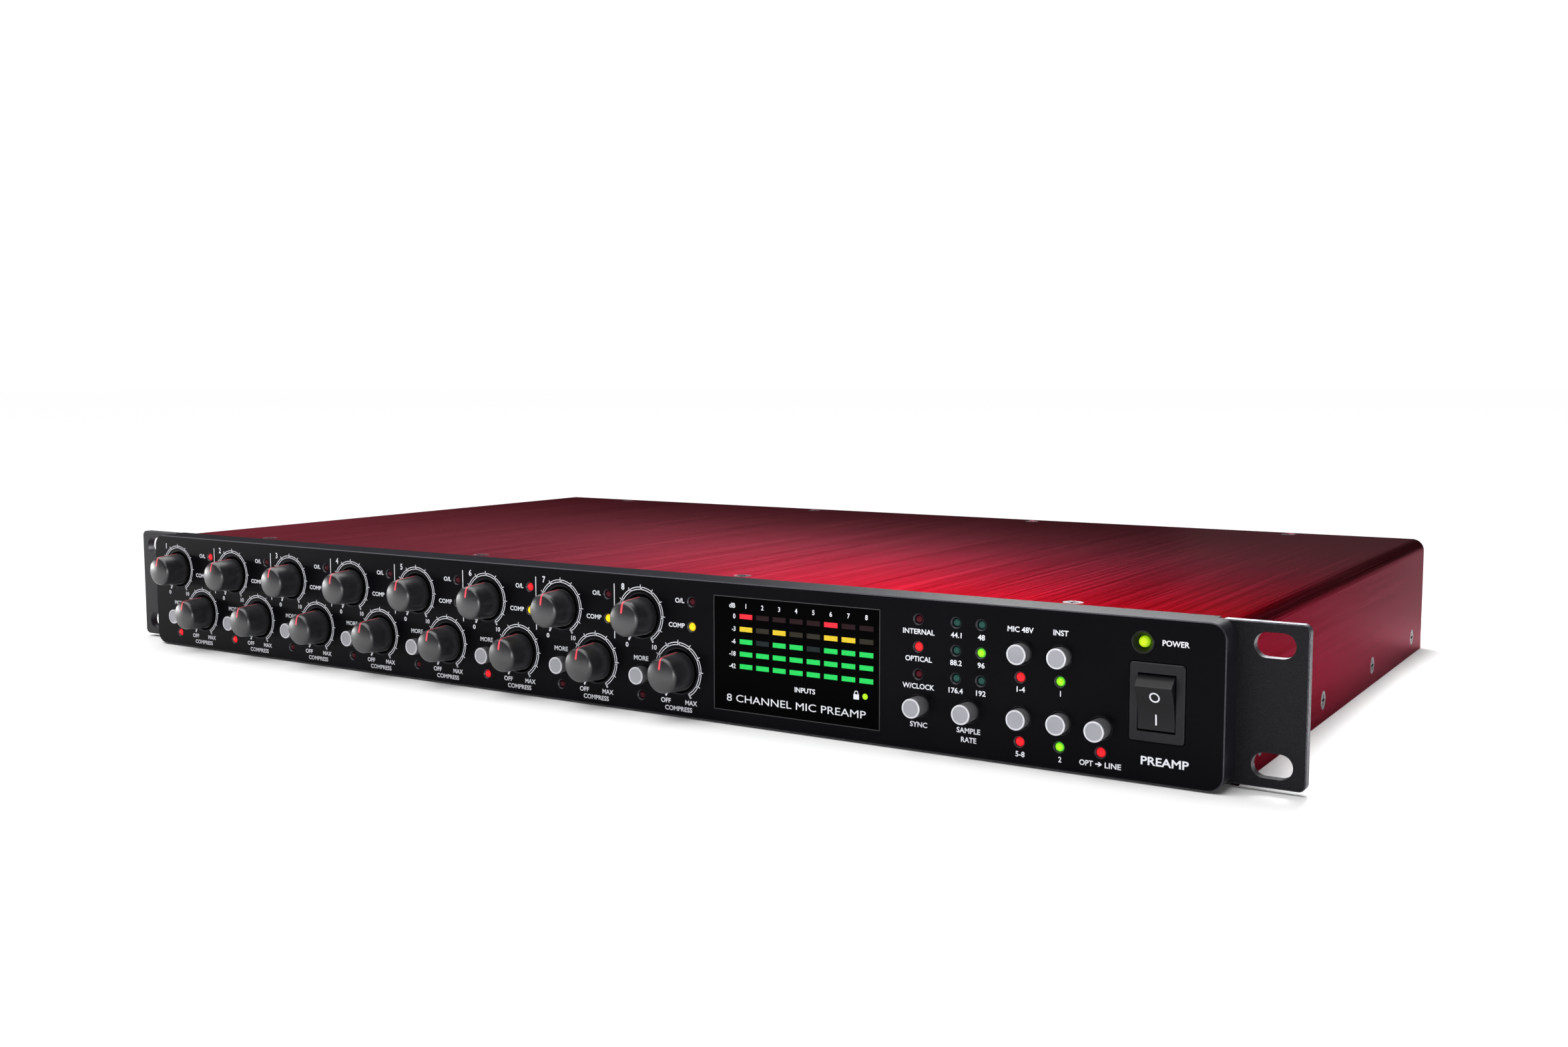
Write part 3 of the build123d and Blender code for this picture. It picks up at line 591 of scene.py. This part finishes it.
for k in range(CHANNELS):
    make_knob(f"gain_knob_{k + 1}")
    make_knob(f"comp_knob_{k + 1}")

# dark discs behind the knobs: a dark sheet put in the holes as painted shade
bm = bmesh.new()
for place in GAIN + COMP:
    lathe(bm, [(3.2, 3.2), (3.2, 2.65), (5.0, 2.6), (7.8, 2.55), (8.0, 2.75), (8.0, 3.2), (3.2, 3.2)],
          (place.x, FACE, place.z), 48)
mesh_object("shade_discs", bm, M["hole_shade"])


# ---------------------------------------------------------------- push buttons
def make_button(node):
    """Cap with a raised rounded rim and a slightly sunk face; the rim is painted lighter than the cap, as a
    painted highlight.
    """
    low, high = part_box(node)
    at = ((low.x + high.x) / 2, 0.0, (low.z + high.z) / 2)
    front = low.y / MM
    skirt = FACE / MM + BUTTON_SKIRT
    profile = [(BUTTON_STEM_R, high.y / MM), (BUTTON_STEM_R, skirt), (BUTTON_R, skirt),
               (BUTTON_R + 0.02, front + 0.36)]
    profile += arc_points(BUTTON_R - 0.24, front + 0.25, 0.25, 5, 150, 9)
    profile += [(2.36, front + 0.17), (2.2, front + 0.19), (1.0, front + 0.16), (0.0, front + 0.15)]
    bm = bmesh.new()
    lathe(bm, profile, at, 56)
    cap = mesh_object(f"{node}_cap", bm, M["cap"], node)
    cap.data.materials.append(M["cap_face"].mat)
    cap.data.materials.append(M["cap_rim_highlight"].mat)
    for polygon in cap.data.polygons:
        middle = polygon.center
        radius = math.hypot(middle.x - at[0], middle.z - at[2])
        if middle.y < (front + 0.35) * MM:
            # faces round the rim take its lighter colour: a painted highlight
            polygon.material_index = 1 if radius < BUTTON_FACE_R * MM else 2
    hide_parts(node)


RIGHT_BUTTONS = ["sync_button", "rate_button", "mic_power_button_a", "mic_power_button_b",
                 "inst_button_1", "inst_button_2", "line_button"]
for name in [f"more_button_{k + 1}" for k in range(CHANNELS)] + RIGHT_BUTTONS:
    make_button(name)


# ---------------------------------------------------------------- small round lights
def light_places():
    """State of each light by colour and place, in millimetres."""
    places = {"lit_red": [], "lit_green": [], "lit_yellow": [], "off_red": [], "off_green": []}
    for k, knob in enumerate(GAIN):
        x = knob.x / MM
        places["lit_red" if k in (0, 1, 5) else "off_red"].append((x, MORE_LIGHT_Z))
        places["lit_red" if k in (0, 5) else "off_red"].append((x + LIGHT_SHIFT, OVER_Z))
        places["lit_yellow" if k in (5, 6, 7) else "off_red"].append((x + LIGHT_SHIFT, ACTIVE_Z))
    for row, z in enumerate((38.88, 30.88, 22.88)):
        places["lit_red" if row == 1 else "off_red"].append((133.9, z))
        places["off_green"].append((145.9, z))
        places["lit_green" if row == 1 else "off_green"].append((153.7, z))
    places["lit_red"] += [(165.7, 25.22), (165.7, 7.05), (189.4, 7.05)]
    places["lit_green"] += [(177.5, 25.22), (177.5, 7.05)]
    return places


def lens_profile(radius, front, depth=3.0):
    """Domed lens, from the middle of its face back."""
    points = [(0.0, front)]
    points += [(radius * t, front + 0.22 * t ** 2) for t in (0.3, 0.6, 0.85)]
    points += [(radius, front + 0.5), (radius, front + depth)]
    return points


def mark_rims(piece, places, radius):
    """Stores how far each point of a lens is from its middle, 0 to 1."""
    rim = piece.data.attributes.new("rim", "FLOAT", "POINT")
    for vert in piece.data.vertices:
        away = min(math.hypot(vert.co.x - x * MM, vert.co.z - z * MM) for x, z in places)
        rim.data[vert.index].value = min(1.0, away / (radius * MM)) ** 3


lenses = []
for state, places in light_places().items():
    bm = bmesh.new()
    radius, sunk = LIT_LENS if state.startswith("lit") else DARK_LENS
    for x, z in places:
        lathe(bm, lens_profile(radius, sunk), (x * MM, FACE, z * MM), 32)
    lenses.append(mesh_object(f"lights_{state}", bm, M[state]))
    mark_rims(lenses[-1], places, radius)
POWER_LIGHT = centre("power_light_bush")
bm = bmesh.new()
lathe(bm, [(0.0, -0.15), (0.6, -0.03), (1.15, 0.35), (1.45, 0.85), (POWER_LENS_R, 1.4), (POWER_LENS_R, 3.2)],
      (POWER_LIGHT.x, FACE, POWER_LIGHT.z), 40)
lenses.append(mesh_object("lights_power", bm, M["lit_power"]))
mark_rims(lenses[-1], [(POWER_LIGHT.x / MM, POWER_LIGHT.z / MM)], POWER_LENS_R)
for piece in lenses:
    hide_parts("indicator_lights")


# ---------------------------------------------------------------- bar meter
LEVELS = (5, 2, 4, 3, 2, 5, 4, 3)
ROW_COLOUR = ("red", "yellow", "green", "green", "green")
bars = {f"{kind}_{colour}": [] for kind in ("bar", "dim") for colour in ("red", "yellow", "green")}
for column, level in enumerate(LEVELS):
    for row, z in enumerate(BAR_Z):
        kind = "bar" if level >= len(BAR_Z) - row else "dim"
        bars[f"{kind}_{ROW_COLOUR[row]}"].append((BAR_X + BAR_PITCH * column, z))
for state, places in bars.items():
    bm = bmesh.new()
    for x, z in places:
        slab(bm, (x - BAR_SIZE[0] / 2) * MM, (x + BAR_SIZE[0] / 2) * MM, WINDOW_FACE - INK * MM,
             WINDOW_FACE + 0.3 * MM, (z - BAR_SIZE[1] / 2) * MM, (z + BAR_SIZE[1] / 2) * MM)
    piece = mesh_object(f"meter_{state}", bm, M[state], smooth=False)
    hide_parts("meter_bars")
low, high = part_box("meter_window")
half = EDGE_LINE * MM
depths = (FACE - 0.03 * MM, FACE + 0.5 * MM)
bm = bmesh.new()
for x, z in ((low.x, low.z), (high.x, high.z)):
    slab(bm, x - half, x + half, *depths, low.z - half, high.z + half)
    slab(bm, low.x, high.x, *depths, z - half, z + half)
mesh_object("meter_surround", bm, M["plastic"], smooth=False)
bm = bmesh.new()
lathe(bm, [(0.0, -0.03), (0.85, -0.03), (0.93, 0.05), (0.93, 0.3)], (116.3 * MM, WINDOW_FACE, 14.35 * MM), 32)
mesh_object("meter_lock_light", bm, M["lit_green"])


# ---------------------------------------------------------------- printed legends on the front
def scale_ring(bm, place):
    """Ten outlined segments with a tick at the clockwise end of each, and heavier end marks."""
    x, z = place.x, place.z
    half = LINE / 2
    part = 2 * RING_SWEEP / RING_PARTS
    for k in range(RING_PARTS):
        start = -RING_SWEEP + part * k + (0.0 if k == 0 else 3.2)
        end = -RING_SWEEP + part * (k + 1)
        for radius in (RING_IN, RING_OUT):
            arc_band(bm, x, z, radius - half, radius + half, start, end, FACE)
        for angle, outer in ((start, RING_OUT), (end, TICK_OUT)):
            a = math.radians(angle)
            stroke(bm, x, z, (RING_IN - half) * math.sin(a), (RING_IN - half) * math.cos(a),
                   outer * math.sin(a), outer * math.cos(a), FACE)
    outer = TICK_OUT + 0.15
    for angle in (-RING_SWEEP, RING_SWEEP):
        a = math.radians(angle)
        stroke(bm, x, z, RING_IN * math.sin(a), RING_IN * math.cos(a),
               outer * math.sin(a), outer * math.cos(a), FACE, END_MARK)


def channel_legends(bm):
    """Scale rings, numbers and words of the eight channels, with a line between neighbours."""
    for k in range(CHANNELS):
        gain, comp, x = GAIN[k], COMP[k], GAIN[k].x
        for knob in (gain, comp):
            scale_ring(bm, knob + Vector((0.0, 0.0, PRINT_UP * MM)))
        letters(bm, str(k + 1), x - 7.2 * MM, 40.87 * MM, FACE, 2.15)
        letters(bm, "0", x - 5.7 * MM, 21.97 * MM, FACE, CAP, 1.2)
        letters(bm, "10", x + 5.5 * MM, 22.0 * MM, FACE, CAP, 1.85)
        letters(bm, "MORE", x + 0.05 * MM, 18.0 * MM, FACE, CAP, 5.9)
        letters(bm, "O/L", x + 15.75 * MM, 38.0 * MM, FACE, CAP, 3.55)
        letters(bm, "COMP", x + 14.5 * MM, 30.0 * MM, FACE, CAP, 6.35)
        letters(bm, "OFF", comp.x - 4.94 * MM, 5.3 * MM, FACE, CAP, 3.95)
        letters(bm, "MAX", comp.x + 5.1 * MM, 5.3 * MM, FACE, CAP, 4.65)
        letters(bm, "COMPRESS", comp.x + 0.1 * MM, 3.0 * MM, FACE, CAP, 10.75)
        if k < CHANNELS - 1:
            stroke(bm, x, 0.0, 23.15, 23.4, 23.15, 41.5, FACE, 0.33)


def arrow(bm, x, z):
    """Filled arrow that points right."""
    outline = [(-1.0, 0.18), (0.1, 0.18), (-0.28, 0.62), (0.14, 0.62), (0.95, 0.0), (0.14, -0.62),
               (-0.28, -0.62), (0.1, -0.18), (-1.0, -0.18)]
    flat_shape(bm, [(x + a * MM, z + b * MM) for a, b in outline], FACE)


def right_legends(bm):
    """Words round the buttons and lights at the right; each has its x, z and width."""
    rows = (("INTERNAL", 10.2), ("OPTICAL", 8.6), ("W/CLOCK", 10.3))
    rates = ((("44.1", 3.4), ("48", 2.2)), (("88.2", 3.65), ("96", 2.2)), (("176.4", 4.5), ("192", 3.0)))
    for row, z in enumerate((35.4, 27.45, 19.45)):
        letters(bm, rows[row][0], 134.05 * MM, z * MM, FACE, CAP, rows[row][1])
        for (text, width), x in zip(rates[row], (146.0, 153.85)):
            letters(bm, text, x * MM, z * MM, FACE, CAP, width)
    for text, x, z, width in (
        ("SYNC", 134.2, 8.25, 5.6), ("SAMPLE", 150.1, 8.3, 7.4), ("RATE", 150.2, 5.65, 4.8),
        ("MIC 48V", 165.7, 38.7, 7.8), ("INST", 177.6, 38.75, 4.4), ("1-4", 166.0, 21.95, 2.5),
        ("1", 177.7, 22.0, None), ("5-8", 166.0, 3.7, 2.75), ("2", 177.8, 3.7, None),
        ("OPT", 185.4, 3.85, 3.9), ("LINE", 193.0, 3.85, 4.6), ("POWER", 209.6, 38.6, 7.25),
        ("PREAMP", 207.2, 6.7, 13.0),
    ):
        height = 2.3 if text == "PREAMP" else CAP
        letters(bm, text, x * MM, z * MM, FACE, height, width)
    arrow(bm, 189.0 * MM, 3.85 * MM)


def padlock(bm, x, z):
    """Small closed padlock."""
    body = ((-0.95, -0.8), (0.95, -0.8), (0.95, 0.75), (-0.95, 0.75))
    flat_shape(bm, [(x + a * MM, z + b * MM) for a, b in body], WINDOW_FACE)
    arc_band(bm, x, z + 1.15 * MM, 0.42, 0.68, -90, 90, WINDOW_FACE)
    for side in (-0.55, 0.55):
        stroke(bm, x, z, side, 0.7, side, 1.2, WINDOW_FACE, 0.26)


def meter_legends(bm):
    """Print on the meter window."""
    small = 1.5
    heading = 38.0 * MM
    for k in range(CHANNELS):
        letters(bm, str(k + 1), (BAR_X + BAR_PITCH * k) * MM, heading, WINDOW_FACE, small)
    letters(bm, "dB", 68.8 * MM, heading, WINDOW_FACE, small, 2.3)
    for text, z in zip(("0", "-3", "-6", "-18", "-42"), BAR_Z):
        letters(bm, text, 70.0 * MM, z * MM, WINDOW_FACE, small, align="RIGHT")
    letters(bm, "INPUTS", 95.35 * MM, 13.9 * MM, WINDOW_FACE, CAP, 7.3)
    letters(bm, "8 CHANNEL MIC PREAMP", 91.6 * MM, 8.9 * MM, WINDOW_FACE, 2.4, 50.0, weight=0.0)
    padlock(bm, 113.3 * MM, 14.0 * MM)


bm = bmesh.new()
channel_legends(bm)
right_legends(bm)
mesh_object("front_legends", bm, M["ink"], smooth=False)
bm = bmesh.new()
meter_legends(bm)
mesh_object("meter_legends", bm, M["ink"], smooth=False)


# ---------------------------------------------------------------- rocker marks
def rocker_face_y(z):
    """Y of the paddle's hollow face at a height, read from its CAD mesh."""
    mesh = NODES["power_rocker"].data
    points = sorted((v.co.z, v.co.y) for v in mesh.vertices if v.co.y < FACE - 0.1 * MM)
    rows = {}
    for pz, py in points:
        rows[round(pz, 6)] = min(py, rows.get(round(pz, 6), 1.0))
    keys = sorted(rows)
    for a, b in zip(keys, keys[1:]):
        if a <= z <= b:
            return rows[a] + (rows[b] - rows[a]) * (z - a) / (b - a)
    return rows[keys[0]] if z < keys[0] else rows[keys[-1]]


def curved_mark(bm, outline_rows):
    """Strip of quads laid on the paddle's face; rows are ((x, z), (x, z)) in metres."""
    lift = 0.03 * MM
    made = []
    for row in outline_rows:
        made.append([bm.verts.new((x, rocker_face_y(z) - lift, z)) for x, z in row])
    for a, b in zip(made, made[1:]):
        bm.faces.new((a[0], a[1], b[1], b[0]))


def rocker_marks():
    """A ring for off above a bar for on."""
    x = centre("power_rocker").x
    ring_z, steps = 24.2 * MM, 40
    bm = bmesh.new()
    rows = []
    for k in range(steps + 1):
        a = 2 * math.pi * k / steps
        rows.append([(x + r * MM * math.cos(a), ring_z + r * MM * math.sin(a)) for r in (1.02, 1.42)])
    curved_mark(bm, rows)
    half = 0.21 * MM
    curved_mark(bm, [[(x - half, z * MM), (x + half, z * MM)] for z in (16.5, 17.2, 18.0, 18.8, 19.4)])
    bmesh.ops.remove_doubles(bm, verts=bm.verts, dist=1e-7)
    mesh_object("rocker_marks", bm, M["ink"], "power_rocker", smooth=False)


rocker_marks()


# ---------------------------------------------------------------- rear legends
def rear_legends():
    """Words and numbers over the sockets at the back."""
    bm = bmesh.new()
    low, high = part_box("combo_sockets")
    row, half = 39.6 * MM, 13.0 * MM
    step = (high.x - low.x - 2 * half) / (CHANNELS - 1)
    for k in range(CHANNELS):
        letters(bm, str(k + 1), high.x - half - step * k, row, REAR, 2.0, back=True)
    for text, node, z, width in (
        ("LINE OUTPUTS", "line_jacks", row, 20.0), ("OPTICAL", "optical_ports", row, 11.0),
        ("CLOCK IN     CLOCK OUT", "clock_sockets", 33.5 * MM, 36.0),
    ):
        letters(bm, text, centre(node).x, z, REAR, 1.8, width, back=True)
    mesh_object("rear_legends", bm, M["ink"], smooth=False)


rear_legends()

# ---------------------------------------------------------------- floor, light and camera
floor_surface = plain("floor_white", (0.95, 0.95, 0.95), 0.95, specular=0.0, vary=0.005)
FLOOR_REACH = 30.0
FLOOR_THICK = 0.02
bm = bmesh.new()
slab(bm, -FLOOR_REACH, FLOOR_REACH, -FLOOR_REACH, 2 * FLOOR_REACH, CAD_BOX[0].z - FLOOR_THICK, CAD_BOX[0].z)
floor = mesh_object("floor", bm, floor_surface, None, smooth=False)


def studio_world(backdrop, ambient):
    """White backdrop for the camera, and dim even light from all round for everything else."""
    world = bpy.data.worlds.new("studio")
    bpy.context.scene.world = world
    world.use_nodes = True
    tree = world.node_tree
    path = tree.nodes.new("ShaderNodeLightPath")
    strength = tree.nodes.new("ShaderNodeMapRange")
    strength.inputs["To Min"].default_value = ambient
    strength.inputs["To Max"].default_value = backdrop
    tree.links.new(path.outputs["Is Camera Ray"], strength.inputs["Value"])
    background = tree.nodes["Background"]
    tree.links.new(strength.outputs["Result"], background.inputs["Strength"])
    background.inputs["Color"].default_value = (1.0, 1.0, 1.0, 1.0)


def point_at(lamp, place, aim):
    """Puts a lamp in the scene, facing a point."""
    lamp.location = place
    lamp.rotation_euler = (Vector(aim) - Vector(place)).to_track_quat("-Z", "Y").to_euler()
    bpy.context.scene.collection.objects.link(lamp)


def softbox(name, place, aim, size, power):
    """Rectangular studio light."""
    data = bpy.data.lights.new(name, "AREA")
    data.shape = "RECTANGLE"
    data.size, data.size_y = size
    data.energy = power
    lamp = bpy.data.objects.new(name, data)
    lamp.visible_camera = False
    point_at(lamp, place, aim)


def dome(name, place, strength, spread):
    """Wide soft light from far away, even over the whole floor."""
    data = bpy.data.lights.new(name, "SUN")
    data.energy = strength
    data.angle = math.radians(spread)
    point_at(bpy.data.objects.new(name, data), place, (0.0, 0.0, 0.0))


# each light has its place, the point it faces, its size and its power
studio_world(backdrop=1.1, ambient=0.05)
dome("ceiling", (-0.9, 0.05, 2.0), 3.42, 74.0)
softbox("front_right", (1.1, -1.1, 0.11), (0.0, -0.1, 0.03), (0.9, 0.2), 9.0)
softbox("strip", (0.05, 0.15, 0.27), (0.03, -0.13, 0.045), (0.3, 0.12), 1.5)
softbox("low_strip", (0.125, 0.08, 0.2), (0.11, -0.13, 0.045), (0.22, 0.1), 1.5)
softbox("left_low", (-1.8, -0.55, 0.03), (0.0, -0.14, 0.024), (1.0, 0.05), 9.0)
softbox("overhead", (0.2, -1.2, 1.5), (0.0, 0.0, 0.03), (1.4, 0.8), 11.0)
softbox("low_card", (-0.1, 1.6, 0.16), (0.15, 0.0, 0.03), (0.5, 0.24), 0.055)

# camera: place and direction in the row frame
LENS = 35.14
CAMERA_PLACE = (336.73 * MM, -520.29 * MM, 106.3 * MM)
YAW, PITCH_DOWN, ROLL = (math.radians(a) for a in (-32.672, -5.202, -0.08))
ahead = Vector((math.sin(YAW) * math.cos(PITCH_DOWN), math.cos(YAW) * math.cos(PITCH_DOWN),
                math.sin(PITCH_DOWN)))
level = Vector((math.cos(YAW), -math.sin(YAW), 0.0))
above = level.cross(ahead)
right = level * math.cos(ROLL) + above * math.sin(ROLL)
up = above * math.cos(ROLL) - level * math.sin(ROLL)
camera_data = bpy.data.cameras.new("camera")
camera_data.sensor_width = 36.0
camera_data.lens = LENS
camera_data.clip_start = 0.01
camera = bpy.data.objects.new("camera", camera_data)
camera.matrix_world = Matrix((
    (right.x, up.x, -ahead.x, CAMERA_PLACE[0]),
    (right.y, up.y, -ahead.y, CAMERA_PLACE[1]),
    (right.z, up.z, -ahead.z, CAMERA_PLACE[2]),
    (0.0, 0.0, 0.0, 1.0),
))
bpy.context.scene.collection.objects.link(camera)
bpy.context.scene.camera = camera
bpy.context.scene.view_settings.view_transform = "Standard"
